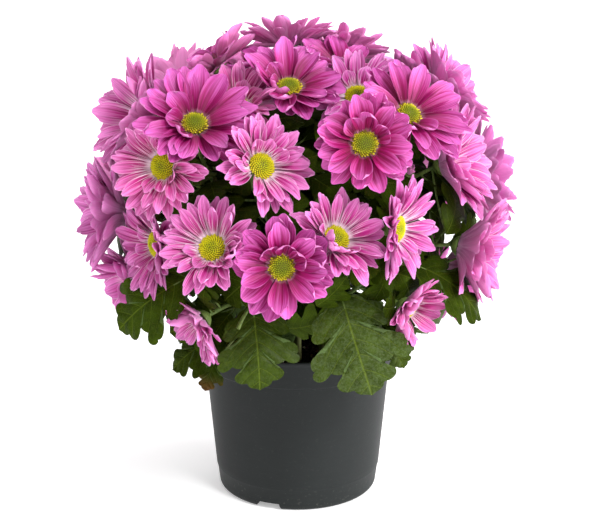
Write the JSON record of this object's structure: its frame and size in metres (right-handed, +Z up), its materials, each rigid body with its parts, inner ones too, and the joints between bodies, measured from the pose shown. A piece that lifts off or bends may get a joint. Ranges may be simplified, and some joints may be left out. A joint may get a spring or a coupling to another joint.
{
  "type": "pot chrysanthemum",
  "caption": "Bushy chrysanthemum with pink daisy blooms and lobed green leaves, growing in a tapered dark plastic nursery pot that stands on a flat foot ring.",
  "frame": {"origin": "on the pot's axis, at the level of the surface the foot ring stands on", "axes": "+Z up along the pot's axis, -Y towards the front of the crown, +X to the right seen from the front"},
  "size_m": [0.2766, 0.2835, 0.3141],
  "materials": {
    "anthracite_plastic": "satin moulded plastic",
    "dark_peat": "matte crumbled peat",
    "green_leaf": "matte leaf",
    "pink_petal": "matte petal",
    "yellow_disc": "matte florets"
  },
  "bodies": {
    "root": {"pot": "anthracite_plastic", "soil": "dark_peat", "stem_1": "green_leaf", "stem_2": "green_leaf", "stem_3": "green_leaf", "stem_4": "green_leaf", "stem_5": "green_leaf", "stem_6": "green_leaf", "petals_01": "pink_petal", "disc_01": "yellow_disc", "petals_02": "pink_petal", "disc_02": "yellow_disc", "petals_03": "pink_petal", "disc_03": "yellow_disc", "petals_04": "pink_petal", "disc_04": "yellow_disc", "petals_05": "pink_petal", "disc_05": "yellow_disc", "petals_06": "pink_petal", "disc_06": "yellow_disc", "petals_07": "pink_petal", "disc_07": "yellow_disc", "petals_08": "pink_petal", "disc_08": "yellow_disc", "petals_09": "pink_petal", "disc_09": "yellow_disc", "petals_10": "pink_petal", "disc_10": "yellow_disc", "petals_11": "pink_petal", "disc_11": "yellow_disc", "bloom_12": "pink_petal", "petals_13": "pink_petal", "disc_13": "yellow_disc", "petals_14": "pink_petal", "disc_14": "yellow_disc", "bloom_15": "pink_petal", "bloom_16": "pink_petal", "bloom_17": "pink_petal", "bloom_18": "pink_petal", "bloom_19": "pink_petal", "bloom_20": "pink_petal", "bloom_21": "pink_petal", "bloom_22": "pink_petal", "bloom_23": "pink_petal", "bloom_24": "pink_petal", "bloom_25": "pink_petal", "bloom_26": "pink_petal", "bloom_27": "pink_petal", "bloom_28": "pink_petal", "bloom_29": "pink_petal", "bloom_30": "pink_petal", "bloom_31": "pink_petal", "bloom_32": "pink_petal", "bloom_33": "pink_petal", "bloom_34": "pink_petal", "bloom_35": "pink_petal", "bloom_36": "pink_petal", "bloom_37": "pink_petal", "bloom_38": "pink_petal", "bloom_39": "pink_petal"}
  },
  "joints": []
}
